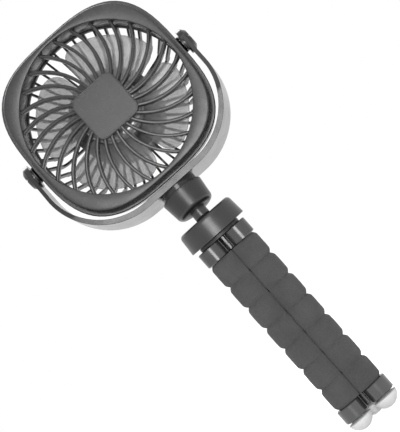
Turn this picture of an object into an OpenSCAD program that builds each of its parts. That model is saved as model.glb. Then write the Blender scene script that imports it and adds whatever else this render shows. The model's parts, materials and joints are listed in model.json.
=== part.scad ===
// Rounded-square fan head in a U-yoke, on a ball joint with three bendable foam legs.
// Millimetres, +Z up along the tripod, the fan faces -Y, origin under the leg hub.

/* [Head] */
// Full width of the rounded-square head
head_w = 108.6; // [96:0.2:120]
// Exponent of the head's rounded-square outline
corner_power = 3.1; // [2.6:0.1:4]
// Thickness of the front lip
lip_w = 1.3; // [1:0.1:2]
// How far the lip stands in front of the pivot axis
lip_front = 6.5; // [5.5:0.1:9]
// How far the ring reaches behind the pivot axis
ring_back = 6; // [5.5:0.1:9]
// Width of the shadow groove inside the lip
lip_groove_w = 0.9; // [0.6:0.1:1.5]
// Depth of the shadow groove below the lip
lip_groove_depth = 2.5; // [1.5:0.1:3.5]
// How far the cover's face stands in front of the lip
cover_rise = 5.1; // [4:0.1:6]
// Narrowest width of the cover's face
face_w = 2.7; // [2.2:0.1:4]
// Rounding of the cover's outer edge
cover_edge_r = 1.1; // [0.6:0.1:1.6]
// Depth of the round duct behind the face
duct_depth = 16.1; // [13.5:0.1:16.5]
// Wall of the round duct
duct_wall = 1.6; // [1.2:0.1:2]

/* [Grille] */
// Number of swirl ribs
rib_count = 27; // [18:1:32]
// Width of a swirl rib
rib_w = 1.9; // [1.4:0.1:2.4]
// Depth of a swirl rib
rib_depth = 4.5; // [3:0.1:5]
// Radius that a swirl rib is curved to
rib_arc_r = 40; // [34:1:60]
// How far the ribs' outer ends lie behind the face
rib_recess = 3.6; // [2:0.1:5]
// Width of the square centre pad
pad_w = 29.8; // [26:0.2:34]
// Corner radius of the centre pad
pad_corner_r = 5.4; // [3:0.1:8]
// How far the pad's plate stands in front of the face
pad_proud = 1; // [0.6:0.1:2]
// Thickness of the blank centre plate
badge_t = 1; // [0.8:0.1:1.6]
// Depth of the dished field inside the plate's border
badge_dish = 0.3; // [0.2:0.1:0.5]
// Width of the plate's border
badge_border = 0.8; // [0.5:0.1:2]

/* [Rotor] */
// Number of blades
blade_count = 4; // [3:1:5]
// Gap between the blade tips and the duct
tip_gap = 4.8; // [4:0.1:9]
// Outer radius of the rotor hub
hub_r = 19; // [17:0.1:20]
// Wall of the rotor hub
hub_wall = 1.8; // [1.2:0.1:2.4]
// Rounding of the hub's front edge
hub_edge_r = 4; // [2:0.1:5]
// How far the hub's front lies in front of the pivot axis
hub_front = 1.4; // [0:0.1:1.6]
// Length of the rotor hub
hub_len = 12.4; // [11:0.1:13]
// Thickness of a blade
blade_t = 1.3; // [1:0.1:1.8]
// Widest angle that a blade covers, in degrees
blade_span = 80; // [50:1:84]
// Fore-and-aft rise of a blade over its span
blade_rise = 7.5; // [4:0.1:8]
// Angle of the first blade's middle at rest, in degrees
blade_angle = 53.5; // [0:0.5:90]
// Radius of the motor shaft
shaft_r = 1; // [0.8:0.05:1.5]

/* [Rear housing] */
// Number of rear cage ribs
cage_count = 46; // [36:1:52]
// Width of a rear cage rib
cage_rib_w = 1.3; // [1:0.1:1.6]
// Thickness of a rear cage rib
cage_rib_t = 2.6; // [2:0.1:3.2]
// Depth of the cage behind the ring
cage_depth = 22; // [20:0.5:28]
// How far the cage's sides draw in towards the back
cage_draw = 6; // [3:0.5:9]
// Radius of the round corner at the back of the cage
cage_corner_r = 7; // [4:0.5:9]
// Outer radius of the motor pod
pod_r = 27; // [26:0.1:30]
// Wall of the motor pod
pod_wall = 2; // [1.6:0.1:2.6]
// Gap between the rotor hub and the motor pod
pod_gap = 1.4; // [0.8:0.1:2]
// Thickness of the rear cover
rear_cover_t = 3; // [2.4:0.1:4]
// Radius of the motor can
motor_r = 12; // [10:0.1:13]
// Length of the motor can
motor_len = 13; // [12:0.1:14.5]
// Thickness of the circuit board
board_t = 1.6; // [1:0.1:2]
// Width of the battery cell
battery_w = 36; // [24:1:36]
// Height of the battery cell
battery_h = 30; // [24:1:32]
// Thickness of the battery cell
battery_t = 8; // [6:0.1:9]
// Radius of the power button
button_r = 6; // [4.5:0.1:8]
// Travel of the power button
button_travel = 1; // [0.8:0.1:1.4]
// Width of the charging socket
port_w = 8.9; // [7:0.1:9.5]
// Height of the charging socket
port_h = 3.2; // [2.6:0.1:3.6]
// Depth of the charging socket
port_len = 6.5; // [5:0.1:8]
// Radius of the indicator lens
lens_r = 1.5; // [1:0.1:2]

/* [Yoke] */
// Gap between the head's lip and the yoke's sides
yoke_side_gap = 2.8; // [1.8:0.1:4.5]
// Gap between the turning head and the yoke's bottom
yoke_floor_gap = 1.7; // [1:0.1:5]
// Thickness of the yoke strap at its bottom
strap_t = 3.6; // [3:0.1:4.4]
// Thickness of the yoke strap at its sides
strap_side_t = 2.3; // [1.8:0.1:3.2]
// Depth of the yoke strap at the bottom
strap_depth = 26; // [24:0.5:32]
// Outer corner radius of the yoke
strap_corner_r = 42; // [34:0.5:46]
// Radius of the round tab at each end of the yoke
tab_r = 7.75; // [6.5:0.05:9]
// Thickness of the tab
tab_t = 3.2; // [2.6:0.1:4]
// Radius of the outer face of the cap on each tab
cap_r = 5; // [4.4:0.1:6]
// Thickness of the cap
cap_t = 2; // [1.4:0.1:2.6]
// Width of the slot across the cap
cap_slot_w = 1.2; // [0.8:0.1:1.6]
// Depth of the slot across the cap
cap_slot_depth = 0.7; // [0.4:0.1:1]
// Radius of the tilt pins
pin_r = 3; // [2:0.1:3.4]
// Radius of the head's side bosses
boss_r = 5.2; // [4.6:0.1:5.4]
// Thickness of the friction washers
washer_t = 0.8; // [0.6:0.1:1.2]

/* [Base] */
// Radius of the collar under the yoke
collar_r = 11.6; // [10:0.1:12]
// Height of the collar
collar_h = 2.9; // [2:0.1:4]
// Top radius of the base cup
cup_r = 13.1; // [12.4:0.1:14]
// How much the cup narrows downwards
cup_taper = 1.2; // [0.6:0.1:2]
// Height of the cup
cup_h = 13.7; // [12:0.1:16]
// Rounding of the cup's lower edge
cup_edge_r = 3; // [2:0.1:4]
// Radius of the stud's camera thread
thread_r = 3.1; // [2.5:0.05:3.2]
// Length of the stud's camera thread
thread_len = 7; // [5:0.1:8]
// Outer radius of the threaded insert
insert_r = 4.8; // [4.4:0.1:6]

/* [Ball joint] */
// Backward lean of the fan at rest, in degrees
lean = 11; // [0:0.5:18]
// Radius of the ball
ball_r = 5.8; // [5:0.1:6]
// Radius of the neck beside the ball
neck_r = 3.4; // [2.6:0.1:3.6]
// Radius of the neck's upper flange
flange_r = 4.7; // [4:0.1:4.8]
// Depth of the ball's centre below the lock ring's top
ball_depth = 7; // [6.8:0.1:7.4]
// Gap between the lock ring and the base cup
neck_gap = 5.3; // [4.8:0.1:7]
// Lower radius of the lock ring
ring_r = 18.6; // [17:0.1:21]
// How much the lock ring narrows upwards
ring_taper = 0.7; // [0:0.1:2]
// Height of the lock ring
ring_h = 12.3; // [12:0.1:14]
// Rounding of the lock ring's top edge
ring_edge_r = 2.5; // [1:0.1:3]
// Wall of the ball seat
seat_wall = 2.7; // [2:0.1:3]

/* [Tripod] */
// Radius of the leg hub's plate
hub_plate_r = 13.5; // [13.2:0.1:16]
// Thickness of the leg hub's plate
hub_plate_t = 2.1; // [1.8:0.1:3]
// Wall of the leg hub's upper sleeve
hub_sleeve_w = 4; // [3:0.1:4.2]
// Distance between neighbouring legs
leg_pitch = 18.3; // [17.5:0.1:20]
// Radius of the root collars
root_collar_r = 7.35; // [6.5:0.05:8.5]
// Height of the root collars
root_collar_h = 9.3; // [8:0.1:14]

/* [Legs] */
// Distance between the middles of neighbouring foam sleeves, which lean on each other
foam_pitch = 16.5; // [15.6:0.1:17.2]
// Length of one foam bead
bead_pitch = 15.1; // [12:0.1:18]
// Depth of the grooves between the beads
bead_groove_depth = 1.7; // [0.8:0.1:2]
// Length of the rounded edge at each end of a bead
bead_edge = 2.2; // [1:0.1:3.5]
// Radius of the bendable core wire
core_r = 2.2; // [1.5:0.1:2.6]
// Radius of the end collars
end_collar_r = 7.75; // [6:0.05:8.4]
// Height of the end collars
end_collar_h = 8.8; // [8:0.1:14]
// Radius of the feet
foot_r = 7.5; // [5.5:0.05:8]
// Height of the feet
foot_h = 8; // [5:0.1:12]

/* [Clearances] */
// Running clearance of pins, shafts and sockets
run_gap = 0.05; // [0.02:0.01:0.08]
// Gap between pieces that move past each other
body_gap = 0.3; // [0.25:0.05:0.35]
// Gap between a piece and its seat
seat_gap = 0.1; // [0.05:0.05:0.15]

/* [Hidden] */
$fn = 96;

plastic = "#565656";
dark_plastic = "#2b2b2b";
blade_grey = "#a8a8a8";
foam_grey = "#4e4e4e";
foot_white = "#ececec";
steel = "#b9bcc0";
brass = "#b99a4b";

outline_points = 72;
arc_steps = 8;
// How far fused shapes reach into each other, and cutters past what they cut
overlap = 0.5;
cut = 1;

// Head, in a frame with X right, Y up and Z forward, on the pivot axis
head_half = head_w / 2;
cover_half = head_half - lip_w - lip_groove_w;
opening_r = cover_half - face_w;
face_z = lip_front + cover_rise;
groove_z = lip_front - lip_groove_depth;
duct_r = opening_r + duct_wall;
duct_back = duct_depth - face_z;
bore_r = duct_r + seat_gap;
waist_in = 1.4;
waist_z = -1;
ring_waist = head_half - waist_in;
ring_rear_wall = 1.5;
ring_rear_half = bore_r + ring_rear_wall;
lip_edge = 0.45;
lip_band = 1.4;
lip_shoulder = 2.6;
lip_shoulder_in = 0.3;
cover_edge_share = 0.3;
boss_wall = 0.9;
pad_front = face_z + pad_proud;
pad_half = pad_w / 2;
pad_seat_z = pad_front - badge_t;
rib_bite = 1.5;
rib_root_r = pad_half - rib_bite;
rib_pad_step = 0.2;
rib_front_in = pad_seat_z - rib_pad_step;
rib_front_out = face_z - rib_recess;
pad_back = rib_front_in - rib_depth - rib_pad_step;
rotor_r = opening_r - tip_gap;
hub_back = hub_len - hub_front;
blade_set_back = 0.2;
blade_mid = -hub_back / 2 - blade_set_back;
pod_front = hub_back + pod_gap;
cage_front = ring_back;
cage_back = cage_front + cage_depth;
pod_tail = 1;
pod_back = cage_back + pod_tail;
cover_back = pod_back + rear_cover_t;
pod_inner_r = pod_r - pod_wall;
motor_back = pod_front + pod_wall;
motor_front = motor_back - motor_len;
stack_gap = 0.5;
board_front = motor_back + stack_gap;
battery_front = board_front + board_t + stack_gap;
corner_screw = (head_half / pow(2, 1 / corner_power) + duct_r / sqrt(2)) / 2;
screw_r = 1.2;
screw_head_r = 2.3;
screw_head_h = 1.6;
screw_boss_r = 2.8;
rear_screw_y = battery_h / 2 + screw_boss_r + body_gap;
rear_screw_x = sqrt(pow(pod_inner_r - screw_boss_r, 2) - rear_screw_y * rear_screw_y);
port_inset = 7.9;
port_y = -max(battery_h / 2 + port_h / 2 + stack_gap, pod_inner_r - port_inset);
lens_spacing = 4;
lens_y = button_r + lens_r + lens_spacing;
lens_proud = 0.2;
port_wall = 0.5;
button_out = 1.2;
button_flange_w = 1.2;
button_flange_t = 1;
button_round = 1;
button_back = cover_back + button_out;
cover_round = 2;
cage_step = 0.4;
cage_r = duct_r + cage_step;
screw_sink = 0.4;
screw_bite = 2.2;
screw_seat = -ring_back + screw_head_h + screw_sink;
screw_tip = groove_z + seat_gap + screw_bite;
rear_screw_sink = 0.2;
rear_screw_seat = -cover_back + screw_head_h + rear_screw_sink;
rear_boss_len = 6;
rear_boss_end = -pod_back + rear_boss_len;
face_bevel = 0.5;
pad_inset = 0.6;
pin_wall = 0.6;
pin_start = bore_r + pin_wall;
shaft_stop = 2;
shaft_front = 0.6;
blade_bite = 0.7;
blade_root = hub_r - blade_bite;
blade_knee = 34;
blade_tip_half = 25;
blade_rows = 7;
blade_cols = 9;
cage_ring_h = 2.2;

// Yoke and base, along the stud's axis from the ball's centre
head_swing = sqrt(head_half * head_half + lip_front * lip_front);
yoke_half = head_half + yoke_side_gap + strap_side_t;
yoke_drop = head_swing + yoke_floor_gap + strap_t;
yoke_inner = yoke_half - strap_side_t;
strap_inner_r = strap_corner_r - (strap_t + strap_side_t) / 2;
tab_out = yoke_half;
tab_in = tab_out - tab_t;
cup_low = ball_depth + neck_gap;
cup_top = cup_low + cup_h;
collar_top = cup_top + collar_h;
pivot_u = collar_top + yoke_drop;
strap_taper = 36;
base_screw_r = 2;
base_screw_head_r = 4;
base_screw_head_h = 2;
base_screw_sink = 0.2;
base_screw_floor = 0.25;
strap_pocket = -yoke_drop + strap_t - base_screw_head_h - base_screw_sink;
thread_end_gap = 0.2;
insert_len = thread_len + thread_end_gap;
neck_rise = 0.4;
flange_low = ball_depth + neck_rise;
neck_cone = 1.4;
base_screw_low = cup_low + insert_len + base_screw_floor * (cup_h - insert_len);
cup_chamfer = 0.6;
cap_inset = 0.25;
cap_base_r = tab_r - cap_inset;

// Tripod, downwards from the hub's underside
ring_low = hub_plate_t + body_gap / 2;
ring_top = ring_low + ring_h;
ball_z = ring_top - ball_depth;
seat_r = ball_r + seat_wall;
seat_floor = 0.6;
seat_rise = 2.5;
seat_low = ball_z - ball_r - seat_floor;
seat_top = ball_z + seat_rise;
sleeve_inner = seat_r + run_gap;
sleeve_outer = sleeve_inner + hub_sleeve_w;
sleeve_step = 0.5;
sleeve_top = seat_top - sleeve_step;
mouth_h = 3;
mouth_play = 0.5;
mouth_flare = 4;
mouth_r = sqrt(ball_r * ball_r - mouth_h * mouth_h) + mouth_play;
mouth_top_r = mouth_r + mouth_flare;
leg_ring = leg_pitch / sqrt(3);
leg_angles = [210, 330, 90];
root_spigot_r = 4;
hub_lobe_r = root_spigot_r + body_gap;
spigot_short = 2;
spigot_end = spigot_short - root_collar_h;
collar_chamfer = 0.5;
foam_ring = foam_pitch / sqrt(3);
foam_r = (foam_pitch - body_gap) / 2;
bead_count = 7;
foam_top = -root_collar_h - seat_gap;
foam_end = foam_top - bead_count * bead_pitch;
root_beads = [0, 1];
upper_beads = [1, 3];
middle_beads = [3, 5];
lower_beads = [5, 7];
core_top = -3;
core_tail = 5;
core_end = foam_end - core_tail;
foot_plug_r = 4;
foot_plug_h = 2.5;
foot_flat = 1.5;
end_collar_low = foam_end - seat_gap - end_collar_h;

// Frames

module upper() translate([0, 0, ball_z]) rotate([-lean, 0, 0]) children();
module yoke_frame() upper() translate([0, 0, pivot_u]) children();
module head_frame() yoke_frame() rotate([90, 0, 0]) children();
module leg_frame(leg, ring = leg_ring) {
    a = leg_angles[leg - 1];
    translate([ring * cos(a), ring * sin(a), 0]) children();
}
module both_sides() {
    children();
    mirror([1, 0, 0]) children();
}

// Shared shapes

function signed_pow(v, p) = sign(v) * pow(abs(v), p);
function outline(half) = [
    for (i = [0:outline_points - 1])
        let (a = 360 * i / outline_points)
        [half * signed_pow(cos(a), 2 / corner_power), half * signed_pow(sin(a), 2 / corner_power)]
];

// Solid through rounded-square sections, each [half width, height], from low to high
module loft(sections) {
    last = len(sections) - 1;
    n = outline_points;
    points = [
        for (s = sections)
            for (p = outline(s[0]))
                [p[0], p[1], s[1]]
    ];
    sides = [
        for (k = [0:last - 1])
            for (i = [0:n - 1])
                let (j = (i + 1) % n)
                [k * n + i, (k + 1) * n + i, (k + 1) * n + j, k * n + j]
    ];
    low = [for (i = [0:n - 1]) i];
    high = [for (i = [0:n - 1]) last * n + n - 1 - i];
    polyhedron(points, concat(sides, [low], [high]));
}

// Rounded square with true arcs
module round_square(half, r) {
    square([2 * half, 2 * (half - r)], center = true);
    square([2 * (half - r), 2 * half], center = true);
    for (x = [-1, 1])
        for (y = [-1, 1])
            translate([x * (half - r), y * (half - r)]) circle(r);
}

// Round bar between two heights
module bar(r, low, high) translate([0, 0, low]) cylinder(r = r, h = high - low);

// Ring between two heights
module tube(outer, inner, low, high) {
    difference() {
        bar(outer, low, high);
        bar(inner, low - cut, high + cut);
    }
}

// Pan-head screw with its tip up, its head from -head_h to 0
module screw(r, length, head_r, head_h) {
    bar(r, -overlap, length);
    bar(head_r, -head_h, 0);
}

module at_corner_screws() {
    for (x = [-1, 1])
        for (y = [-1, 1])
            translate([x * corner_screw, y * corner_screw, 0]) children();
}

module at_rear_screws() {
    for (x = [-1, 1])
        for (y = [-1, 1])
            translate([x * rear_screw_x, y * rear_screw_y, 0]) children();
}

// Points of an arc from angle a to angle b
function arc(centre, r, a, b, steps = arc_steps) = [
    for (i = [0:steps])
        let (t = a + (b - a) * i / steps)
        [centre[0] + r * cos(t), centre[1] + r * sin(t)]
];

// Ferrule with chamfered ends
module ferrule(r, inner, low, high, chamfer) {
    rotate_extrude()
        polygon([
            [inner, low], [r - chamfer, low], [r, low + chamfer],
            [r, high - chamfer], [r - chamfer, high], [inner, high]
        ]);
}

// Head

module housing_ring() {
    boss_end = tab_in - washer_t - seat_gap;
    color(plastic) head_frame() {
        difference() {
            union() {
                loft([
                    [ring_rear_half, -ring_back],
                    [ring_waist, waist_z],
                    [head_half - lip_shoulder_in, lip_front - lip_shoulder],
                    [head_half, lip_front - lip_band],
                    [head_half, lip_front - lip_edge],
                    [head_half - lip_edge, lip_front]
                ]);
                both_sides() rotate([0, 90, 0]) bar(boss_r, bore_r + boss_wall, boss_end);
            }
            translate([0, 0, groove_z]) linear_extrude(lip_front) polygon(outline(head_half - lip_w));
            bar(bore_r, -ring_back - cut, lip_front);
            at_corner_screws() bar(screw_r + run_gap, -ring_back - cut, lip_front);
            at_corner_screws() bar(screw_head_r + seat_gap, -ring_back - cut, screw_seat);
            both_sides() rotate([0, 90, 0]) bar(pin_r, pin_start, boss_end + cut);
        }
    }
}

module rib() {
    low = rib_front_out - rib_depth - cut;
    high = rib_front_in + cut;
    intersection() {
        rotate_extrude()
            polygon([
                [rib_root_r, rib_front_in],
                [rib_root_r, rib_front_in - rib_depth],
                [opening_r + overlap, rib_front_out - rib_depth],
                [opening_r + overlap, rib_front_out]
            ]);
        translate([rib_root_r, rib_arc_r, 0])
            tube(rib_arc_r + rib_w / 2, rib_arc_r - rib_w / 2, low, high);
        translate([0, -rib_w, low]) cube([opening_r + cut, opening_r, high - low]);
    }
}

module front_grille() {
    color(plastic) head_frame() {
        difference() {
            union() {
                loft([
                    [cover_half, groove_z + seat_gap],
                    [cover_half, face_z - cover_edge_r],
                    [cover_half - cover_edge_share * cover_edge_r, face_z - cover_edge_share * cover_edge_r],
                    [cover_half - cover_edge_r, face_z]
                ]);
                bar(duct_r, -duct_back, groove_z + 2 * seat_gap + overlap);
            }
            bar(opening_r, -duct_back - cut, face_z + cut);
            translate([0, 0, face_z - face_bevel])
                cylinder(r1 = opening_r, r2 = opening_r + 2 * face_bevel, h = 2 * face_bevel);
            at_corner_screws() bar(screw_r, groove_z - cut, screw_tip);
        }
        translate([0, 0, pad_back])
            linear_extrude(pad_seat_z - pad_back)
                round_square(pad_half - pad_inset, pad_corner_r - pad_inset);
        for (i = [0:rib_count - 1])
            rotate(360 * i / rib_count) rib();
    }
}

module centre_badge() {
    color(plastic) head_frame() translate([0, 0, pad_seat_z])
        difference() {
            linear_extrude(badge_t) round_square(pad_half, pad_corner_r);
            translate([0, 0, badge_t - badge_dish])
                linear_extrude(badge_t)
                    round_square(pad_half - badge_border, pad_corner_r - badge_border);
        }
}

// One cage rib: its side runs back and in, turns a round corner and meets the pod
module cage_rib() {
    corner = [cage_r - cage_draw - cage_corner_r, cage_corner_r - cage_back];
    inner_r = cage_corner_r - cage_rib_t;
    rotate([90, 0, 0]) translate([0, 0, -cage_rib_w / 2])
        linear_extrude(cage_rib_w)
            polygon(concat(
                [[cage_r - cage_rib_t, -cage_front - overlap], [cage_r, -cage_front - overlap]],
                arc(corner, cage_corner_r, 0, -90),
                [[pod_r - overlap, -cage_back], [pod_r - overlap, cage_rib_t - cage_back]],
                arc(corner, inner_r, -90, 0)
            ));
}

module rear_cage() {
    color(dark_plastic) head_frame() {
        tube(ring_rear_half, cage_r - cage_rib_t, -cage_front - cage_ring_h, -cage_front);
        for (i = [0:cage_count - 1])
            rotate(360 * i / cage_count) cage_rib();
        difference() {
            bar(pod_r, -pod_back, -pod_front);
            bar(pod_inner_r, -pod_back - cut, -pod_front - pod_wall);
            bar(motor_r, -pod_back, -pod_front + cut);
        }
        difference() {
            at_rear_screws() bar(screw_boss_r + overlap / 2, -pod_back, rear_boss_end);
            at_rear_screws() bar(screw_r, -pod_back - cut, rear_boss_end + cut);
        }
    }
}

module rear_cover() {
    color(dark_plastic) head_frame()
        difference() {
            rotate_extrude()
                polygon(concat(
                    [[0, -pod_back], [pod_r, -pod_back]],
                    arc([pod_r - cover_round, cover_round - cover_back], cover_round, 0, -90),
                    [[0, -cover_back]]
                ));
            bar(button_r + body_gap, -cover_back - cut, -pod_back + cut);
            at_rear_screws() bar(screw_r + run_gap, -cover_back - cut, -pod_back + cut);
            at_rear_screws() bar(screw_head_r + seat_gap, -cover_back - cut, rear_screw_seat);
            translate([0, lens_y, 0]) bar(lens_r, -cover_back - cut, -pod_back + cut);
            translate([0, port_y, -cover_back])
                cube([port_w + 2 * seat_gap, port_h + 2 * seat_gap, 2 * (rear_cover_t + cut)], center = true);
        }
}

module motor() {
    color(steel) head_frame()
        difference() {
            bar(motor_r, -motor_back, -motor_front);
            bar(shaft_r + run_gap, -motor_back + shaft_stop, -motor_front + cut);
        }
}

module circuit_board() {
    color("#2d5a3a") head_frame() bar(pod_inner_r - body_gap, -board_front - board_t, -board_front);
}

module battery_cell() {
    color(steel) head_frame()
        translate([-battery_w / 2, -battery_h / 2, -battery_front - battery_t])
            cube([battery_w, battery_h, battery_t]);
}

module charge_port() {
    color(steel) head_frame()
        translate([0, port_y, -cover_back + port_len / 2])
            difference() {
                cube([port_w, port_h, port_len], center = true);
                translate([0, 0, -port_wall])
                    cube([port_w - 2 * port_wall, port_h - 2 * port_wall, port_len], center = true);
            }
}

module indicator_lens() {
    color("#dfe8ee") head_frame() translate([0, lens_y, 0]) bar(lens_r, -cover_back - lens_proud, -pod_back);
}

module cover_screws() {
    color(steel) head_frame()
        at_corner_screws() translate([0, 0, screw_seat])
            screw(screw_r, screw_tip - screw_seat, screw_head_r, screw_head_h);
}

module rear_screws() {
    color(steel) head_frame()
        at_rear_screws() translate([0, 0, rear_screw_seat])
            screw(screw_r, rear_boss_end - rear_screw_seat, screw_head_r, screw_head_h);
}

module pivot_pins() {
    color(steel) head_frame()
        both_sides() rotate([0, 90, 0]) bar(pin_r, pin_start, tab_out - seat_gap);
}

// Rotor

function blade_half(r) =
    let (s = max(0, (r - blade_knee) / (rotor_r - blade_knee)))
    blade_tip_half + (blade_span / 2 - blade_tip_half) * sqrt(max(0, 1 - s * s));

function blade_point(i, j, side) =
    let (r = blade_root + (rotor_r - blade_root) * i / blade_rows)
    let (a = (2 * j / blade_cols - 1) * blade_half(r))
    [r * cos(a), r * sin(a), blade_mid + blade_rise * a / blade_span + side * blade_t / 2];

// One blade: a helical sheet between the hub and its rounded tip
module blade() {
    nc = blade_cols + 1;
    count = (blade_rows + 1) * nc;
    points = [
        for (side = [1, -1])
            for (i = [0:blade_rows])
                for (j = [0:blade_cols])
                    blade_point(i, j, side)
    ];
    front = [
        for (i = [0:blade_rows - 1])
            for (j = [0:blade_cols - 1])
                let (k = i * nc + j)
                each [[k, k + 1, k + nc], [k + 1, k + nc + 1, k + nc]]
    ];
    back = [for (t = front) [t[2] + count, t[1] + count, t[0] + count]];
    rim = concat(
        [for (j = [0:blade_cols]) j],
        [for (i = [1:blade_rows]) i * nc + blade_cols],
        [for (j = [1:blade_cols]) blade_rows * nc + blade_cols - j],
        [for (i = [1:blade_rows - 1]) (blade_rows - i) * nc]
    );
    edge = [
        for (q = [0:len(rim) - 1])
            let (a = rim[q], b = rim[(q + 1) % len(rim)])
            each [[b, a, a + count], [b, a + count, b + count]]
    ];
    polyhedron(points, concat(front, back, edge));
}

module fan_rotor() {
    color(blade_grey) head_frame() {
        difference() {
            rotate_extrude()
                polygon(concat(
                    [[0, -hub_back], [hub_r, -hub_back]],
                    arc([hub_r - hub_edge_r, hub_front - hub_edge_r], hub_edge_r, 0, 90),
                    [[0, hub_front]]
                ));
            bar(hub_r - hub_wall, -hub_back - cut, hub_front - hub_edge_r);
            bar(hub_r - hub_edge_r, -hub_back, hub_front - hub_wall);
            bar(shaft_r, -hub_back, shaft_front);
        }
        for (i = [0:blade_count - 1])
            rotate(blade_angle + 360 * i / blade_count) blade();
    }
}

module motor_shaft() {
    color(steel) head_frame() bar(shaft_r, -motor_back + shaft_stop + seat_gap, shaft_front);
}

module power_button() {
    color(plastic) head_frame()
        rotate_extrude()
            polygon(concat(
                [[0, -pod_back + seat_gap + button_flange_t]],
                [[button_r + button_flange_w, -pod_back + seat_gap + button_flange_t]],
                [[button_r + button_flange_w, -pod_back + seat_gap], [button_r, -pod_back + seat_gap]],
                arc([button_r - button_round, button_round - button_back], button_round, 0, -90, 4),
                [[0, -button_back]]
            ));
}

// Yoke

module u_shape(half, drop, r) {
    translate([-half, r - drop]) square([2 * half, drop - r]);
    translate([r - half, -drop]) square([2 * (half - r), drop]);
    for (x = [-1, 1])
        translate([x * (half - r), r - drop]) circle(r);
}

module yoke_strap() {
    far = 2 * yoke_half;
    color(plastic) yoke_frame()
        difference() {
            union() {
                intersection() {
                    rotate([90, 0, 0]) linear_extrude(far, center = true)
                        difference() {
                            u_shape(yoke_half, yoke_drop, strap_corner_r);
                            translate([0, cut])
                                u_shape(yoke_inner, yoke_drop - strap_t + cut, strap_inner_r);
                        }
                    rotate([90, 0, 90]) linear_extrude(far, center = true)
                        polygon([
                            [-tab_r, 0],
                            [-strap_depth / 2, -strap_taper],
                            [-strap_depth / 2, -yoke_drop - cut],
                            [strap_depth / 2, -yoke_drop - cut],
                            [strap_depth / 2, -strap_taper],
                            [tab_r, 0]
                        ]);
                }
                both_sides() rotate([0, 90, 0]) bar(tab_r, tab_in, tab_out);
                bar(collar_r, -yoke_drop - collar_h, -yoke_drop + overlap);
            }
            both_sides() rotate([0, 90, 0]) bar(pin_r + run_gap, tab_in - cut, tab_out + cut);
            bar(base_screw_r + run_gap, -yoke_drop - collar_h - cut, -yoke_drop + strap_t + cut);
            bar(base_screw_head_r + seat_gap, strap_pocket, -yoke_drop + strap_t + cut);
        }
}

module pivot_caps() {
    color(dark_plastic) yoke_frame()
        both_sides() rotate([0, 90, 0]) translate([0, 0, tab_out])
            difference() {
                cylinder(r1 = cap_base_r, r2 = cap_r, h = cap_t);
                translate([-cap_slot_w / 2, -cap_base_r, cap_t - cap_slot_depth])
                    cube([cap_slot_w, 2 * cap_base_r, cap_slot_depth + cut]);
            }
}

module friction_washers() {
    color(dark_plastic) yoke_frame()
        both_sides() rotate([0, 90, 0])
            tube(boss_r, pin_r + run_gap, tab_in - washer_t, tab_in);
}

module base_cup() {
    low_r = cup_r - cup_taper;
    color(plastic) upper()
        difference() {
            rotate_extrude()
                polygon(concat(
                    [[0, cup_low]],
                    arc([low_r - cup_edge_r, cup_low + cup_edge_r], cup_edge_r, -90, 0),
                    [[cup_r, cup_top - cup_chamfer], [cup_r - cup_chamfer, cup_top], [0, cup_top]]
                ));
            bar(insert_r, cup_low - cut, cup_low + insert_len);
            bar(base_screw_r, base_screw_low, cup_top + cut);
        }
}

module base_screw() {
    top = pivot_u + strap_pocket + base_screw_head_h;
    color(steel) upper() {
        bar(base_screw_r, base_screw_low, top);
        bar(base_screw_head_r, top - base_screw_head_h, top);
    }
}

module thread_insert() {
    color(brass) upper() tube(insert_r, thread_r + run_gap, cup_low, cup_low + insert_len);
}

// Ball joint

module ball_stud() {
    color(steel) upper() {
        sphere(ball_r);
        rotate_extrude()
            polygon([
                [0, 0], [neck_r, 0], [neck_r, flange_low - neck_cone], [flange_r, flange_low],
                [flange_r, cup_low - run_gap], [thread_r, cup_low - run_gap],
                [thread_r, cup_low + thread_len], [0, cup_low + thread_len]
            ]);
    }
}

module ball_seat() {
    color(dark_plastic)
        difference() {
            bar(seat_r, seat_low, seat_top);
            translate([0, 0, ball_z]) sphere(ball_r + run_gap);
        }
}

module lock_ring() {
    ceiling = ball_z + mouth_h;
    top_r = ring_r - ring_taper;
    color(plastic)
        rotate_extrude()
            polygon(concat(
                [[sleeve_outer + body_gap, ring_low], [ring_r, ring_low]],
                arc([top_r - ring_edge_r, ring_top - ring_edge_r], ring_edge_r, 0, 90),
                [[mouth_top_r, ring_top], [mouth_r, ceiling], [sleeve_outer + body_gap, ceiling]]
            ));
}

// Tripod

module leg_hub() {
    color(dark_plastic) {
        difference() {
            union() {
                bar(hub_plate_r, 0, hub_plate_t);
                bar(sleeve_outer, 0, sleeve_top);
                for (leg = [1:3])
                    leg_frame(leg) bar(hub_lobe_r, 0, hub_plate_t);
            }
            bar(sleeve_inner, seat_low - seat_gap, sleeve_top + cut);
        }
        for (leg = [1:3])
            leg_frame(leg) tube(root_spigot_r, core_r, spigot_end, overlap);
    }
}

module root_collars() {
    color(plastic)
        for (leg = [1:3])
            leg_frame(leg) ferrule(root_collar_r, root_spigot_r, -root_collar_h, 0, collar_chamfer);
}

module root_cores() {
    color(steel)
        for (leg = [1:3])
            leg_frame(leg) bar(core_r, bead_z(root_beads[1]) + seat_gap, core_top);
}

function bead_z(k) = foam_top - k * bead_pitch;

// Outer profile of one bead, from its top edge to its bottom edge
function bead_profile(k) =
    let (steps = 5)
    let (rim = [for (i = [0:steps]) [i / steps * bead_edge, sin(90 * i / steps)]])
    concat(
        [for (p = rim) [foam_r - bead_groove_depth * (1 - p[1]), bead_z(k) - p[0]]],
        [for (i = [0:steps])
            let (p = rim[steps - i])
            [foam_r - bead_groove_depth * (1 - p[1]), bead_z(k + 1) + p[0]]]
    );

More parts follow.
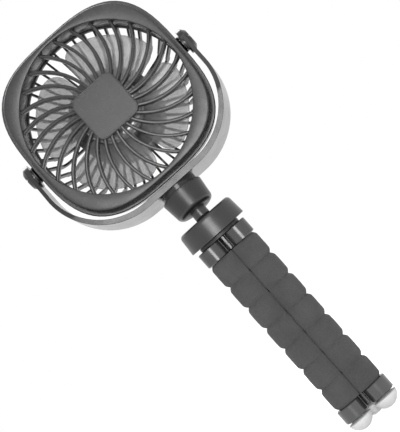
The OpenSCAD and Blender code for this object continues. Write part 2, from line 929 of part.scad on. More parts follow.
module foam(leg, beads) {
    trim = seat_gap / 2;
    top = bead_z(beads[0]) - trim;
    low = bead_z(beads[1]) + trim;
    color(foam_grey)
        difference() {
            leg_frame(leg, foam_ring)
                intersection() {
                    rotate_extrude()
                        polygon(concat(
                            [[0, bead_z(beads[0])]],
                            [for (k = [beads[0]:beads[1] - 1]) each bead_profile(k)],
                            [[0, bead_z(beads[1])]]
                        ));
                    bar(foam_r + cut, low, top);
                }
            leg_frame(leg) bar(core_r + run_gap, low - cut, top + cut);
        }
}

module core(leg, beads, low) {
    color(steel) leg_frame(leg) bar(core_r, low, bead_z(beads[0]) - seat_gap);
}

module end_collar(leg) {
    high = foam_end - seat_gap;
    color(plastic) leg_frame(leg)
        difference() {
            ferrule(end_collar_r, 0, end_collar_low, high, collar_chamfer);
            bar(core_r, core_end, high + cut);
            bar(foot_plug_r, end_collar_low - cut, end_collar_low + foot_plug_h);
        }
}

module foot(leg) {
    steps = 10;
    color(foot_white) leg_frame(leg) {
        rotate_extrude()
            polygon(concat(
                [[0, end_collar_low]],
                [for (i = [0:steps - 1])
                    let (a = 90 * i / steps)
                    [foot_r * cos(a), end_collar_low - foot_flat - (foot_h - foot_flat) * sin(a)]],
                [[0, end_collar_low - foot_h]]
            ));
        bar(foot_plug_r, end_collar_low - overlap, end_collar_low + foot_plug_h);
    }
}

housing_ring();
front_grille();
centre_badge();
rear_cage();
rear_cover();
motor();
circuit_board();
battery_cell();
charge_port();
indicator_lens();
cover_screws();
rear_screws();
pivot_pins();
fan_rotor();
motor_shaft();
power_button();
yoke_strap();
pivot_caps();
friction_washers();
base_cup();
base_screw();
thread_insert();
ball_stud();
ball_seat();
lock_ring();
leg_hub();
root_collars();
root_cores();
foam(1, root_beads);  // leg_1_foam_root
foam(1, upper_beads);  // leg_1_foam_upper
foam(1, middle_beads);  // leg_1_foam_middle
foam(1, lower_beads);  // leg_1_foam_lower
core(1, upper_beads, bead_z(upper_beads[1]) + seat_gap);  // leg_1_core_upper
core(1, middle_beads, bead_z(middle_beads[1]) + seat_gap);  // leg_1_core_middle
core(1, lower_beads, core_end);  // leg_1_core_lower
end_collar(1);  // leg_1_end_collar
foot(1);  // leg_1_foot
foam(2, root_beads);  // leg_2_foam_root
foam(2, upper_beads);  // leg_2_foam_upper
foam(2, middle_beads);  // leg_2_foam_middle
foam(2, lower_beads);  // leg_2_foam_lower
core(2, upper_beads, bead_z(upper_beads[1]) + seat_gap);  // leg_2_core_upper
core(2, middle_beads, bead_z(middle_beads[1]) + seat_gap);  // leg_2_core_middle
core(2, lower_beads, core_end);  // leg_2_core_lower
end_collar(2);  // leg_2_end_collar
foot(2);  // leg_2_foot
foam(3, root_beads);  // leg_3_foam_root
foam(3, upper_beads);  // leg_3_foam_upper
foam(3, middle_beads);  // leg_3_foam_middle
foam(3, lower_beads);  // leg_3_foam_lower
core(3, upper_beads, bead_z(upper_beads[1]) + seat_gap);  // leg_3_core_upper
core(3, middle_beads, bead_z(middle_beads[1]) + seat_gap);  // leg_3_core_middle
core(3, lower_beads, core_end);  // leg_3_core_lower
end_collar(3);  // leg_3_end_collar
foot(3);  // leg_3_foot
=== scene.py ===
"""Looks of the rounded-square fan on three bendable foam legs, in metres, in the CAD frame."""
import json
import math

import bmesh
import bpy
from mathutils import Matrix, Vector

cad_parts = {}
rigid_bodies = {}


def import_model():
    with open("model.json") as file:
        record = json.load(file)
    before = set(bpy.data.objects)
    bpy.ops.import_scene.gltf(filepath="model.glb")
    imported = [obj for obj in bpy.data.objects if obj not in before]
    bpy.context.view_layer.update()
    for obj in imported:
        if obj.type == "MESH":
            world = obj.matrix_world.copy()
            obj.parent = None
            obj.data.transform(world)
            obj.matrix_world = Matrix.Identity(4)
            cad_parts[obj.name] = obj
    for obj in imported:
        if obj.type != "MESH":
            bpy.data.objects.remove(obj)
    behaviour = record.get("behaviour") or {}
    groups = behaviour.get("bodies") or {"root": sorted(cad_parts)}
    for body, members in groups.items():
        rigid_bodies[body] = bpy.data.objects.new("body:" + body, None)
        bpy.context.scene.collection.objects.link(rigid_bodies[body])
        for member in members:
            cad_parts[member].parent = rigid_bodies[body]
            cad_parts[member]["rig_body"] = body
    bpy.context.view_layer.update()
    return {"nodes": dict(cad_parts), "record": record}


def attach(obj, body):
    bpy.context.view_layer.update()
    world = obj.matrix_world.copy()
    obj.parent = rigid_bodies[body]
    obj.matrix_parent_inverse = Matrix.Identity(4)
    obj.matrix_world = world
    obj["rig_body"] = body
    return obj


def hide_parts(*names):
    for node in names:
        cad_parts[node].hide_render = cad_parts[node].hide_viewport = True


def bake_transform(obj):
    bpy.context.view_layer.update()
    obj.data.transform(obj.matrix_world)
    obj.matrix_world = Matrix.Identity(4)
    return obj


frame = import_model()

SCENE = bpy.context.scene
NODES = frame["nodes"]
MM = 0.001

# Sizes in millimetres and angles in degrees. The main ones are those of the part's source.

# Place of the head
BALL_Z = 7.55
LEAN = 11.0
PIVOT_U = 88.888

# Bezel and duct
CORNER_POWER = 3.1
COVER_HALF = 52.1
COVER_EDGE_R = 1.1
FACE_Z = 11.6
GROOVE_Z = 4.1
OPENING_R = 49.4
LIP_R = 0.6
DUCT_R = 51.0
DUCT_BACK = -4.5
DUCT_MID = 2.0
DUCT_EASE_IN = 0.4
DUCT_EASE_OUT = 0.3

# Ribs and pad
RIB_COUNT = 27
RIB_W = 1.9
RIB_DEPTH = 4.5
RIB_FRONT_R = 0.65
RIB_BACK_R = 0.35
RIB_ARC_R = 40.0
RIB_SWEEP = 74.0
RIB_ROOT_R = 13.4
RIB_ROOT_SINK = 0.6
RIB_TIP_SINK = 0.3
RIB_FALL_END = 0.5
RIB_FRONT_IN = 11.4
RIB_FRONT_OUT = 8.0
PAD_HALF = 14.3
PAD_CORNER_R = 4.8
PAD_SEAT_Z = 11.6
PAD_EASE = 0.5
PAD_BACK_SINK = 0.2

# Rotor
ROTOR_R = 44.6
HUB_R = 19.0
HUB_EDGE_R = 4.0
HUB_FRONT = 1.4
HUB_BACK = -11.0
HUB_EASE = 0.3
HUB_FLAT = 2.0
HUB_CORE = 0.05
BLADE_COUNT = 4
BLADE_ANGLE = 53.5
BLADE_ROOT = 18.3
BLADE_KNEE = 34.0
BLADE_TIP_HALF = 25.0
BLADE_SPAN = 80.0
BLADE_RISE = 7.5
BLADE_T = 1.3
BLADE_MID = -5.7
BLADE_EDGE = 1.4
BLADE_EDGE_T = 0.3
BLADE_CROWD = 1.6

# Legs
LEG_RING = 18.3 / math.sqrt(3)
LEG_ANGLES = (210, 330, 90)
FOAM_RING = 16.5 / math.sqrt(3)
FOAM_R = 8.1
FOAM_BULGE = 9.6
FOAM_FLAT = 8.22
FOAM_FLAT_SIDE = 30.0
FOAM_SHARPNESS = 40.0
FOAM_TOP = -9.4
BEAD_PITCH = 15.1
BEAD_GROOVE = 1.6
BEAD_EDGE = 2.5
BEAD_CROWN = 0.2
GROOVE_POWER = 1.5
GROOVE_SHUT = 0.15
# Cosine from the inward side where a sleeve starts to be free of its neighbours, and its range
FREE_FROM = 0.6
FREE_OVER = 0.8
# Depth, waves round the sleeve, shift from bead to bead and slope down the bead
UNEVEN = ((0.05, 3, 1.7, 0.4), (0.04, 7, -2.3, 0.9), (0.03, 13, 5.1, -1.3))
BORE_R = 2.3
WIRE_R = 2.2
WIRE_TOP = -3.0
WIRE_END = -120.1

FLOOR_Z = -132.0
FLOOR_HALF = 6000.0

TO_METRES = Matrix.Scale(MM, 4)
UPPER = Matrix.Translation((0, 0, BALL_Z)) @ Matrix.Rotation(math.radians(-LEAN), 4, "X")
HEAD = UPPER @ Matrix.Translation((0, 0, PIVOT_U)) @ Matrix.Rotation(math.radians(90), 4, "X")
HEAD_MM = TO_METRES @ HEAD


# Materials. Noise scales are per metre, bump depths in metres.

def new_material(name):
    material = bpy.data.materials.new(name)
    material.use_nodes = True
    tree = material.node_tree
    return material, tree.nodes, tree.links, tree.nodes["Principled BSDF"]


def noise(nodes, links, scale, detail=3.0, rough=0.55):
    coord = nodes.new("ShaderNodeTexCoord")
    texture = nodes.new("ShaderNodeTexNoise")
    texture.inputs["Scale"].default_value = scale
    texture.inputs["Detail"].default_value = detail
    texture.inputs["Roughness"].default_value = rough
    links.new(coord.outputs["Object"], texture.inputs["Vector"])
    return texture.outputs["Fac"]


def ramp(nodes, links, source, low, high, start=0.35, end=0.65):
    node = nodes.new("ShaderNodeValToRGB")
    node.color_ramp.elements[0].position = start
    node.color_ramp.elements[1].position = end
    node.color_ramp.elements[0].color = (*low, 1)
    node.color_ramp.elements[1].color = (*high, 1)
    links.new(source, node.inputs["Fac"])
    return node.outputs["Color"]


def spread(nodes, links, source, low, high):
    node = nodes.new("ShaderNodeMapRange")
    node.inputs["From Min"].default_value = 0.3
    node.inputs["From Max"].default_value = 0.7
    node.inputs["To Min"].default_value = low
    node.inputs["To Max"].default_value = high
    links.new(source, node.inputs["Value"])
    return node.outputs["Result"]


def bump(nodes, links, source, strength, distance):
    node = nodes.new("ShaderNodeBump")
    node.inputs["Strength"].default_value = strength
    node.inputs["Distance"].default_value = distance
    links.new(source, node.inputs["Height"])
    return node.outputs["Normal"]


def grey(value):
    return (value, value, value)


def moulded(name, value, rough, grain=1500.0, depth=0.25, tint=0.12, coat=0.0, specular=0.5):
    """Moulded plastic: a fine spark-eroded grain, slow colour drift and uneven gloss."""
    drift_scale, gloss_scale, gloss_range = 35.0, 120.0, 0.05
    grain_depth, coat_rough = 0.00006, 0.06
    material, nodes, links, shader = new_material(name)
    slow = noise(nodes, links, drift_scale)
    fine = noise(nodes, links, grain, detail=2.0)
    color = ramp(nodes, links, slow, grey(value * (1 - tint)), grey(value * (1 + tint)))
    patches = noise(nodes, links, gloss_scale)
    gloss = spread(nodes, links, patches, rough - gloss_range, rough + gloss_range)
    links.new(color, shader.inputs["Base Color"])
    links.new(gloss, shader.inputs["Roughness"])
    links.new(bump(nodes, links, fine, depth, grain_depth), shader.inputs["Normal"])
    shader.inputs["Specular IOR Level"].default_value = specular
    shader.inputs["Coat Weight"].default_value = coat
    shader.inputs["Coat Roughness"].default_value = coat_rough
    return material


def metal(name, low, high, rough):
    """Bare metal with fine uneven brushing."""
    grain, smoother, rougher, grain_depth = 900.0, 0.06, 0.08, 0.00004
    material, nodes, links, shader = new_material(name)
    fine = noise(nodes, links, grain, detail=4.0)
    links.new(ramp(nodes, links, fine, low, high), shader.inputs["Base Color"])
    gloss = spread(nodes, links, fine, rough - smoother, rough + rougher)
    links.new(gloss, shader.inputs["Roughness"])
    relief = bump(nodes, links, fine, strength=0.15, distance=grain_depth)
    links.new(relief, shader.inputs["Normal"])
    shader.inputs["Metallic"].default_value = 1.0
    return material


def foam_material():
    """Foam with fine pores, dented by a bump and painted darker as painted shade in them, very matt
    and slightly uneven in tone.
    """
    pore_scale, pore_shade_share, pore_depth, drift_scale = 1300.0, 0.55, 0.00025, 70.0
    material, nodes, links, shader = new_material("foam")
    coord = nodes.new("ShaderNodeTexCoord")
    cells = nodes.new("ShaderNodeTexVoronoi")
    cells.inputs["Scale"].default_value = pore_scale
    links.new(coord.outputs["Object"], cells.inputs["Vector"])
    pores = cells.outputs["Distance"]
    slow = noise(nodes, links, drift_scale, detail=5.0, rough=0.6)
    mix = nodes.new("ShaderNodeMix")
    mix.data_type = "RGBA"
    mix.blend_type = "MULTIPLY"
    mix.inputs["Factor"].default_value = pore_shade_share
    links.new(ramp(nodes, links, slow, grey(0.092), grey(0.114)), mix.inputs["A"])
    # Painted shade: the pores darken the colour as if shade fell into them.
    shade = ramp(nodes, links, pores, grey(0.55), grey(1.0), start=0.12, end=0.45)
    links.new(shade, mix.inputs["B"])
    links.new(mix.outputs["Result"], shader.inputs["Base Color"])
    links.new(spread(nodes, links, slow, 0.88, 0.98), shader.inputs["Roughness"])
    relief = bump(nodes, links, pores, strength=0.45, distance=pore_depth)
    links.new(relief, shader.inputs["Normal"])
    shader.inputs["Diffuse Roughness"].default_value = 0.35
    shader.inputs["Specular IOR Level"].default_value = 0.2
    shader.inputs["Sheen Weight"].default_value = 0.08
    shader.inputs["Sheen Roughness"].default_value = 0.6
    return material


def blade_material():
    """Thin milky plastic that lets light through and shows a little of what is behind it."""
    drift_scale, gloss_scale, grain, grain_depth, light_reach = 60.0, 200.0, 1200.0, 0.00004, 0.006
    material, nodes, links, shader = new_material("blade_plastic")
    color = ramp(nodes, links, noise(nodes, links, drift_scale), grey(0.28), grey(0.36))
    gloss = spread(nodes, links, noise(nodes, links, gloss_scale), 0.24, 0.32)
    links.new(color, shader.inputs["Base Color"])
    links.new(gloss, shader.inputs["Roughness"])
    fine = noise(nodes, links, grain, detail=2.0)
    relief = bump(nodes, links, fine, strength=0.1, distance=grain_depth)
    links.new(relief, shader.inputs["Normal"])
    shader.inputs["Subsurface Weight"].default_value = 1.0
    shader.inputs["Subsurface Radius"].default_value = (1, 1, 1)
    shader.inputs["Subsurface Scale"].default_value = light_reach
    shader.inputs["Alpha"].default_value = 0.54
    return material


PLASTICS = {
    "body_plastic": dict(value=0.04, rough=0.27, specular=0.45),
    "gloss_plastic": dict(value=0.022, rough=0.28, grain=1800.0, depth=0.1, tint=0.1, specular=0.3),
    "strap_gloss": dict(value=0.02, rough=0.18, grain=1800.0, depth=0.06, tint=0.1),
    "ring_plastic": dict(value=0.01, rough=0.33, grain=1300.0, depth=0.3, tint=0.1, specular=0.75),
    "collar_gloss": dict(value=0.036, rough=0.22, grain=1800.0, depth=0.06, tint=0.1, specular=0.8),
    "cup_gloss": dict(value=0.022, rough=0.32, grain=1800.0, depth=0.1, tint=0.1),
    "dark_plastic": dict(value=0.02, rough=0.38),
    "hub_gloss": dict(value=0.3, rough=0.16, depth=0.05, tint=0.08, coat=1.0, specular=1.0),
    "foot_rubber": dict(value=0.88, rough=0.45, grain=1100.0, depth=0.2, tint=0.02),
    "stud": dict(value=0.04, rough=0.26, depth=0.1, tint=0.1, specular=0.6),
    "board": dict(value=0.05, rough=0.4),
    "lens": dict(value=0.7, rough=0.15, grain=800.0, depth=0.05, tint=0.03),
}
METALS = {
    "steel": dict(low=(0.5, 0.5, 0.51), high=(0.64, 0.64, 0.65), rough=0.3),
    "brass": dict(low=(0.56, 0.4, 0.15), high=(0.68, 0.5, 0.2), rough=0.3),
    "cell_foil": dict(low=(0.45, 0.45, 0.46), high=(0.58, 0.58, 0.58), rough=0.4),
}
MATERIALS = {"blade_plastic": blade_material(), "foam": foam_material()}
MATERIALS.update({name: moulded(name, **finish) for name, finish in PLASTICS.items()})
MATERIALS.update({name: metal(name, **finish) for name, finish in METALS.items()})
SLOTS = {part["node"]: part["material_slot"] for part in frame["record"]["subparts"]}
for node_name, node_object in NODES.items():
    node_object.data.materials.clear()
    node_object.data.materials.append(MATERIALS[SLOTS[node_name]])


# Mesh helpers

def finish_piece(bm, name, matrix, slot, body, nodes, sharp):
    """Turns a bmesh into a smooth piece that replaces CAD nodes and rides on a body, if given."""
    bmesh.ops.recalc_face_normals(bm, faces=bm.faces)
    mesh = bpy.data.meshes.new(name)
    bm.to_mesh(mesh)
    bm.free()
    mesh.transform(matrix)
    mesh.polygons.foreach_set("use_smooth", [True] * len(mesh.polygons))
    mesh.set_sharp_from_angle(angle=math.radians(sharp))
    mesh.materials.append(MATERIALS[slot])
    piece = bpy.data.objects.new(name, mesh)
    SCENE.collection.objects.link(piece)
    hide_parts(*nodes)
    if body:
        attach(piece, body)
    return piece


def refine(node, bevel=0.0, segments=2, sharp=40.0, finish=None):
    """A smooth-shaded copy of a CAD node, with its outer edges eased when a bevel is given, so that
    they catch the light.
    """
    same_point, flat_angle, bevel_angle, no_length = 2e-6, 0.3, 50.0, 5e-7
    bm = bmesh.new()
    bm.from_mesh(NODES[node].data)
    bmesh.ops.remove_doubles(bm, verts=bm.verts, dist=same_point)
    bmesh.ops.dissolve_limit(bm, angle_limit=math.radians(flat_angle), verts=bm.verts, edges=bm.edges)
    if bevel:
        edges = [e for e in bm.edges if len(e.link_faces) == 2 and e.is_convex
                 and e.calc_face_angle() > math.radians(bevel_angle)]
        bmesh.ops.bevel(bm, geom=edges, offset=bevel * MM, segments=segments, profile=0.5,
                        affect="EDGES", clamp_overlap=True)
        bmesh.ops.dissolve_degenerate(bm, dist=no_length, edges=bm.edges)
    body = NODES[node]["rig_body"]
    piece = finish_piece(bm, node + "_skin", Matrix.Identity(4), SLOTS[node], body, [node], sharp)
    flatten = piece.modifiers.new("flat_faces", "WEIGHTED_NORMAL")
    flatten.keep_sharp = True
    if finish:
        piece.data.materials[0] = MATERIALS[finish]


def add_grid(bm, rows, closed_rows=False, closed_columns=True):
    """Quads through rows of points, which may close across the rows and along them."""
    made = [[bm.verts.new(p) for p in row] for row in rows]
    count = len(made[0])
    last_row = len(made) if closed_rows else len(made) - 1
    last_column = count if closed_columns else count - 1
    for i in range(last_row):
        low, high = made[i], made[(i + 1) % len(made)]
        for j in range(last_column):
            k = (j + 1) % count
            bm.faces.new((low[j], low[k], high[k], high[j]))
    return made


def add_tube(bm, rows):
    """A grid of closed rows with a face on each end."""
    made = add_grid(bm, rows)
    bm.faces.new(made[0])
    bm.faces.new(made[-1])


def arc(x, y, r, start, end, steps):
    return [(x + r * math.cos(math.radians(start + (end - start) * i / steps)),
             y + r * math.sin(math.radians(start + (end - start) * i / steps)))
            for i in range(steps + 1)]


def circle(x, y, r, steps):
    return [(x + r * math.cos(2 * math.pi * i / steps), y + r * math.sin(2 * math.pi * i / steps))
            for i in range(steps)]


# Grille

def square_radius(half, angle):
    """Distance from the centre to the head's rounded-square outline."""
    c, s = abs(math.cos(angle)), abs(math.sin(angle))
    return half / (c ** CORNER_POWER + s ** CORNER_POWER) ** (1 / CORNER_POWER)


def grille_bezel(bm):
    """Face, rounded outer edge and round duct, as one closed band."""
    steps = 192
    edge = arc(COVER_HALF - COVER_EDGE_R, FACE_Z - COVER_EDGE_R, COVER_EDGE_R, 0, 90, 5)
    lip = arc(OPENING_R + LIP_R, FACE_Z - LIP_R, LIP_R, 90, 180, 4)
    duct = [(OPENING_R, DUCT_MID), (OPENING_R, DUCT_BACK + DUCT_EASE_IN),
            (OPENING_R + DUCT_EASE_IN, DUCT_BACK), (DUCT_R - DUCT_EASE_OUT, DUCT_BACK),
            (DUCT_R, DUCT_BACK + DUCT_EASE_OUT), (DUCT_R, GROOVE_Z)]
    rows = [(True, r, z) for r, z in [(COVER_HALF, GROOVE_Z)] + edge]
    rows += [(False, r, z) for r, z in lip + duct]
    points = []
    for square, r, z in rows:
        row = []
        for i in range(steps):
            a = 2 * math.pi * i / steps
            d = square_radius(r, a) if square else r
            row.append((d * math.cos(a), d * math.sin(a), z))
        points.append(row)
    add_grid(bm, points, closed_rows=True)


def rib_section():
    """Across and depth of a rib, with its front edges well rounded."""
    half, front, back = RIB_W / 2, RIB_FRONT_R, RIB_BACK_R
    low = back - RIB_DEPTH
    return (arc(half - front, -front, front, 90, 0, 4) + arc(half - back, low, back, 0, -90, 3)
            + arc(back - half, low, back, -90, -180, 3) + arc(front - half, -front, front, 180, 90, 4))


def grille_rib(bm, turn):
    """A rib along an arc from the pad, falling back until it ends just inside the duct's wall."""
    section = rib_section()
    steps = 26
    rows = []
    for i in range(steps + 1):
        t = math.radians(RIB_SWEEP * i / steps)
        x = RIB_ROOT_R - RIB_ROOT_SINK + RIB_ARC_R * math.sin(t)
        y = RIB_ARC_R * (1 - math.cos(t))
        r = math.hypot(x, y)
        share = (r - RIB_ROOT_R) / (OPENING_R + RIB_FALL_END - RIB_ROOT_R)
        front = RIB_FRONT_IN + (RIB_FRONT_OUT - RIB_FRONT_IN) * min(1.0, max(0.0, share))
        side = (-math.sin(t), math.cos(t))
        rows.append([(x + u * side[0], y + u * side[1], front + v) for u, v in section])
        if r > OPENING_R + RIB_TIP_SINK:
            break
    spin = Matrix.Rotation(turn, 3, "Z")
    add_tube(bm, [[spin @ Vector(p) for p in row] for row in rows])


def rounded_square(half, r):
    steps = 6
    points = []
    for k, (sx, sy) in enumerate(((1, 1), (-1, 1), (-1, -1), (1, -1))):
        points += arc(sx * (half - r), sy * (half - r), r, 90 * k, 90 * k + 90, steps)
    return points


def make_grille():
    bm = bmesh.new()
    grille_bezel(bm)
    for i in range(RIB_COUNT):
        grille_rib(bm, 2 * math.pi * i / RIB_COUNT)
    low = RIB_FRONT_IN - RIB_DEPTH - PAD_BACK_SINK
    sections = [(PAD_EASE, low), (0.0, low + PAD_EASE), (0.0, PAD_SEAT_Z)]
    add_tube(bm, [[(x, y, z) for x, y in rounded_square(PAD_HALF - inset, PAD_CORNER_R - inset)]
                  for inset, z in sections])
    finish_piece(bm, "grille", HEAD_MM, "body_plastic", "head", ["front_grille"], sharp=45)


# Rotor

def blade_half(r):
    """Half of a blade's angle at a radius, which narrows beyond the knee."""
    s = max(0.0, (r - BLADE_KNEE) / (ROTOR_R - BLADE_KNEE))
    return BLADE_TIP_HALF + (BLADE_SPAN / 2 - BLADE_TIP_HALF) * math.sqrt(max(0.0, 1 - s * s))


def soft_edge(distance):
    """Share of the blade's thickness that is left near its rounded edge."""
    t = min(1.0, max(0.0, distance / BLADE_EDGE))
    return BLADE_EDGE_T + (1 - BLADE_EDGE_T) * math.sqrt(1 - (1 - t) ** 2)


def rotor_blade(bm, turn):
    """A wide pitched blade: front and back sheets, closed along the rim."""
    radial, across = 22, 26
    layers = []
    for side in (1, -1):
        rows = []
        for i in range(radial + 1):
            share = 1 - (1 - i / radial) ** BLADE_CROWD
            r = BLADE_ROOT + (ROTOR_R - BLADE_ROOT) * share
            half = blade_half(r)
            row = []
            for j in range(across + 1):
                a = half * math.sin(math.pi * (j / across - 0.5))
                gap = min(math.radians(half - abs(a)) * r, ROTOR_R - r)
                z = BLADE_MID + BLADE_RISE * a / BLADE_SPAN + side * BLADE_T / 2 * soft_edge(gap)
                b = math.radians(a) + turn
                row.append((r * math.cos(b), r * math.sin(b), z))
            rows.append(row)
        layers.append(add_grid(bm, rows, closed_columns=False))
    front, back = layers
    rim = [(0, j) for j in range(across)] + [(i, across) for i in range(radial)]
    rim += [(radial, across - j) for j in range(across)] + [(radial - i, 0) for i in range(radial)]
    for k, (i, j) in enumerate(rim):
        p, q = rim[(k + 1) % len(rim)]
        bm.faces.new((front[i][j], back[i][j], back[p][q], front[p][q]))


def make_rotor():
    steps = 96
    profile = [(HUB_CORE, HUB_BACK), (HUB_R - HUB_EASE, HUB_BACK), (HUB_R, HUB_BACK + HUB_EASE)]
    profile += arc(HUB_R - HUB_EDGE_R, HUB_FRONT - HUB_EDGE_R, HUB_EDGE_R, 0, 90, 10)
    profile += [(HUB_R - HUB_EDGE_R - HUB_FLAT, HUB_FRONT), (HUB_CORE, HUB_FRONT)]
    bm = bmesh.new()
    add_tube(bm, [[(x, y, z) for x, y in circle(0, 0, r, steps)] for r, z in profile])
    hub = finish_piece(bm, "rotor_hub", HEAD_MM, "blade_plastic", "rotor", ["fan_rotor"], sharp=50)
    hub.data.materials[0] = MATERIALS["hub_gloss"]
    bm = bmesh.new()
    for k in range(BLADE_COUNT):
        rotor_blade(bm, math.radians(BLADE_ANGLE) + 2 * math.pi * k / BLADE_COUNT)
    finish_piece(bm, "rotor_blades", HEAD_MM, "blade_plastic", "rotor", ["fan_rotor"], sharp=50)


# Legs

def leg_point(leg, ring):
    a = math.radians(LEG_ANGLES[leg - 1])
    return ring * math.cos(a), ring * math.sin(a)


def bead_top(bead):
    return FOAM_TOP - bead * BEAD_PITCH


def squeezed_radius(turn):
    """Outline of a foam sleeve, round outside and flat where it leans on its two neighbours."""
    turn = abs((turn + math.pi) % (2 * math.pi) - math.pi)
    side = math.radians(FOAM_FLAT_SIDE)
    if turn > 4 * side:
        return FOAM_R
    off = max(0.0, turn - side)
    bulge = FOAM_BULGE * FOAM_R / math.hypot(FOAM_R * math.cos(off), FOAM_BULGE * math.sin(off))
    power = FOAM_SHARPNESS
    walls = sum((max(0.0, math.cos(turn - s)) / FOAM_FLAT) ** power for s in (side, -side))
    return (bulge ** -power + walls) ** (-1 / power)


def bead_dip(t):
    """Depth of the soft groove at height t down from a bead's top edge."""
    gap = min(t, BEAD_PITCH - t)
    return BEAD_GROOVE * (1 - min(1.0, gap / BEAD_EDGE)) ** GROOVE_POWER


def bead_radius(t, angle, inward, seed):
    """Radius of one bead at height t down from its top edge, with the unevenness of cut foam."""
    crown = BEAD_CROWN * math.sin(math.pi * t / BEAD_PITCH) - BEAD_CROWN
    uneven = sum(depth * math.sin(waves * angle + shift * seed + slope * t)
                 for depth, waves, shift, slope in UNEVEN)
    free = min(1.0, max(0.0, (FREE_FROM - math.cos(angle - inward)) / FREE_OVER))
    dip = bead_dip(t) * (GROOVE_SHUT + (1 - GROOVE_SHUT) * free)
    return squeezed_radius(angle - inward) - dip + free * (crown + min(0.0, uneven))


def bead_heights():
    """Rows of points down a bead, closer together near its grooves."""
    at_edge, between = 6, 8
    edge = [BEAD_EDGE * (1 - math.cos(math.radians(90 * i / at_edge))) for i in range(at_edge + 1)]
    inner = [BEAD_EDGE + (BEAD_PITCH - 2 * BEAD_EDGE) * i / between for i in range(1, between)]
    return edge + inner + [BEAD_PITCH - t for t in reversed(edge)]


def bend_at(piece):
    """Bakes the piece's placement into its mesh."""
    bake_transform(piece)


def foam_piece(leg, first, last, nodes):
    """A leg's sleeve from bead first up to bead last, without last, bored for the wire."""
    steps = 96
    x, y = leg_point(leg, FOAM_RING)
    inward = math.radians(LEG_ANGLES[leg - 1]) + math.pi
    rows = []
    for bead in range(first, last):
        heights = bead_heights() if bead == first else bead_heights()[1:]
        for t in heights:
            row = []
            for i in range(steps):
                b = 2 * math.pi * i / steps
                r = bead_radius(t, b, inward, bead + 10 * leg)
                row.append((x + r * math.cos(b), y + r * math.sin(b), bead_top(bead) - t))
            rows.append(row)
    bore = circle(*leg_point(leg, LEG_RING), BORE_R, steps)
    ends = [[(p, q, row[0][2]) for p, q in bore] for row in (rows[-1], rows[0])]
    bm = bmesh.new()
    add_grid(bm, rows + ends, closed_rows=True)
    piece = finish_piece(bm, f"leg_{leg}_foam_{first}", TO_METRES, "foam", None, nodes, sharp=60)
    bend_at(piece)


def wire_piece(leg, top, low, hinge, nodes):
    """A length of the soft wire inside a leg, inside the foam round it."""
    steps, count = 20, 40
    outline = circle(*leg_point(leg, LEG_RING), WIRE_R, steps)
    bm = bmesh.new()
    add_tube(bm, [[(p, q, top + (low - top) * k / count) for p, q in outline]
                  for k in range(count + 1)])
    piece = finish_piece(bm, f"leg_{leg}_wire_{hinge}", TO_METRES, "steel", None, nodes, sharp=60)
    bend_at(piece)


def make_leg(leg):
    """Three sleeves and three wires, split at the tops of beads."""
    foam = [f"leg_{leg}_foam_{part}" for part in ("root", "upper", "middle", "lower")]
    core = ["root_cores"] + [f"leg_{leg}_core_{part}" for part in ("upper", "middle", "lower")]
    foam_piece(leg, 0, 2, nodes=foam[0:2])
    foam_piece(leg, 2, 4, nodes=foam[2:3])
    foam_piece(leg, 4, 7, nodes=foam[3:4])
    wire_piece(leg, WIRE_TOP, bead_top(2), hinge=1, nodes=core[0:2])
    wire_piece(leg, bead_top(2), bead_top(4), hinge=3, nodes=core[2:3])
    wire_piece(leg, bead_top(4), WIRE_END, hinge=5, nodes=core[3:4])


make_grille()
make_rotor()
for number in (1, 2, 3):
    make_leg(number)
refine("housing_ring", sharp=50)
refine("centre_badge", bevel=0.35, segments=3)
refine("rear_cage", sharp=35)
refine("rear_cover", bevel=0.3)
refine("power_button", sharp=60)
refine("yoke_strap", bevel=0.45, segments=3, sharp=35, finish="strap_gloss")
refine("pivot_caps", bevel=0.35)
refine("base_cup", sharp=30, finish="cup_gloss")
refine("lock_ring", bevel=0.3, sharp=30, finish="ring_plastic")
refine("leg_hub", bevel=0.3)
refine("root_collars", sharp=30, finish="collar_gloss")
for number in (1, 2, 3):
    refine(f"leg_{number}_end_collar", sharp=30, finish="collar_gloss")
    refine(f"leg_{number}_foot", sharp=60)


# Floor, light and camera

def seen_directly(nodes, links):
    """1 where the camera sees a surface, also in gloss or through glass."""
    path = nodes.new("ShaderNodeLightPath")
    total = path.outputs["Is Camera Ray"]
    for ray in ("Is Glossy Ray", "Is Transmission Ray"):
        both = nodes.new("ShaderNodeMath")
        both.operation = "MAXIMUM"
        links.new(total, both.inputs[0])
        links.new(path.outputs[ray], both.inputs[1])
        total = both.outputs["Value"]
    return total


def floor_material():
    """White paper, which also glows where it is seen directly, so that it shows no horizon."""
    paper, glow = 0.85, 0.9
    material, nodes, links, shader = new_material("floor_white")
    shader.inputs["Base Color"].default_value = (*grey(paper), 1)
    shader.inputs["Roughness"].default_value = 0.9
    shader.inputs["Specular IOR Level"].default_value = 0.0
    share = nodes.new("ShaderNodeMath")
    share.operation = "MULTIPLY"
    share.inputs[1].default_value = glow
    links.new(seen_directly(nodes, links), share.inputs[0])
    light = nodes.new("ShaderNodeEmission")
    links.new(share.outputs["Value"], light.inputs["Strength"])
    both = nodes.new("ShaderNodeAddShader")
    links.new(shader.outputs["BSDF"], both.inputs[0])
    links.new(light.outputs["Emission"], both.inputs[1])
    links.new(both.outputs["Shader"], nodes["Material Output"].inputs["Surface"])
    return material


def make_floor():
    corners = [(sx * FLOOR_HALF * MM, sy * FLOOR_HALF * MM, FLOOR_Z * MM)
               for sx, sy in ((-1, -1), (1, -1), (1, 1), (-1, 1))]
    mesh = bpy.data.meshes.new("floor")
    mesh.from_pydata(corners, [], [(0, 1, 2, 3)])
    mesh.materials.append(floor_material())
    floor = bpy.data.objects.new("floor", mesh)
    SCENE.collection.objects.link(floor)


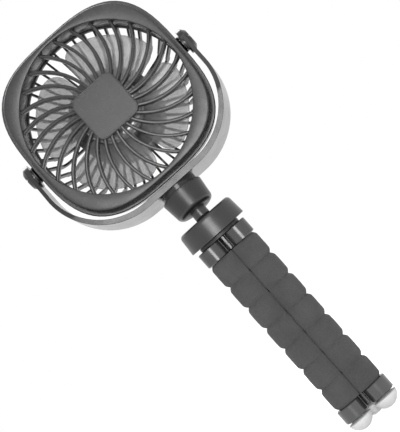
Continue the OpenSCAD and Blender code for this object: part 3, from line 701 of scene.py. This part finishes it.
def make_world(level):
    """White where the camera, gloss or glass sees it, softer as light on the object."""
    world = bpy.data.worlds.new("studio")
    SCENE.world = world
    world.use_nodes = True
    nodes, links = world.node_tree.nodes, world.node_tree.links
    scale = nodes.new("ShaderNodeMapRange")
    scale.inputs["To Min"].default_value = level
    scale.inputs["To Max"].default_value = 1.0
    links.new(seen_directly(nodes, links), scale.inputs["Value"])
    background = nodes["Background"]
    background.inputs["Color"].default_value = (1, 1, 1, 1)
    links.new(scale.outputs["Result"], background.inputs["Strength"])


def softbox(name, place, aim, width, height, level, spread_angle=180):
    """Area light that gives a surface facing it about this share of full studio light."""
    data = bpy.data.lights.new(name, "AREA")
    data.shape = "RECTANGLE"
    data.size, data.size_y = width, height
    half = math.radians(spread_angle / 2)
    data.spread = 2 * half
    gain = math.tan(half) / (math.tan(half) - half) if spread_angle < 180 else 1.0
    way = Vector(aim) - Vector(place)
    data.energy = level * math.pi ** 2 * way.length_squared / gain
    light = bpy.data.objects.new(name, data)
    light.location = place
    light.rotation_euler = way.to_track_quat("-Z", "Y").to_euler()
    SCENE.collection.objects.link(light)


def make_camera(aim, yaw, pitch, roll, distance, lens):
    data = bpy.data.cameras.new("camera")
    data.lens = lens
    data.sensor_width = 36.0
    data.clip_start, data.clip_end = 0.05, 50.0
    camera = bpy.data.objects.new("camera", data)
    SCENE.collection.objects.link(camera)
    a, e = math.radians(yaw), math.radians(pitch)
    back = Vector((math.sin(a) * math.cos(e), -math.cos(a) * math.cos(e), math.sin(e)))
    camera.location = Vector(aim) + back * distance
    turn = (-back).to_track_quat("-Z", "Y").to_matrix()
    camera.rotation_euler = (turn @ Matrix.Rotation(math.radians(-roll), 3, "Z")).to_euler()
    SCENE.camera = camera


make_floor()
make_world(level=0.25)
softbox("front", place=(0.04, -1.3, 0.2), aim=(0, 0, 0.03), width=0.5, height=0.94, level=0.7)
softbox("key", place=(0.3, -0.7, 0.95), aim=(0, 0, 0.05), width=0.6, height=0.5, level=0.07)
softbox("top_back", place=(-0.1, 0.55, 0.7), aim=(0, 0.03, 0.12), width=0.8, height=0.5, level=1.1,
        spread_angle=120)
make_camera(aim=(-0.0011, 0.0, 0.0161), yaw=2.6, pitch=-0.5, roll=41.7, distance=1.0, lens=150.4)
SCENE.view_settings.view_transform = "Standard"
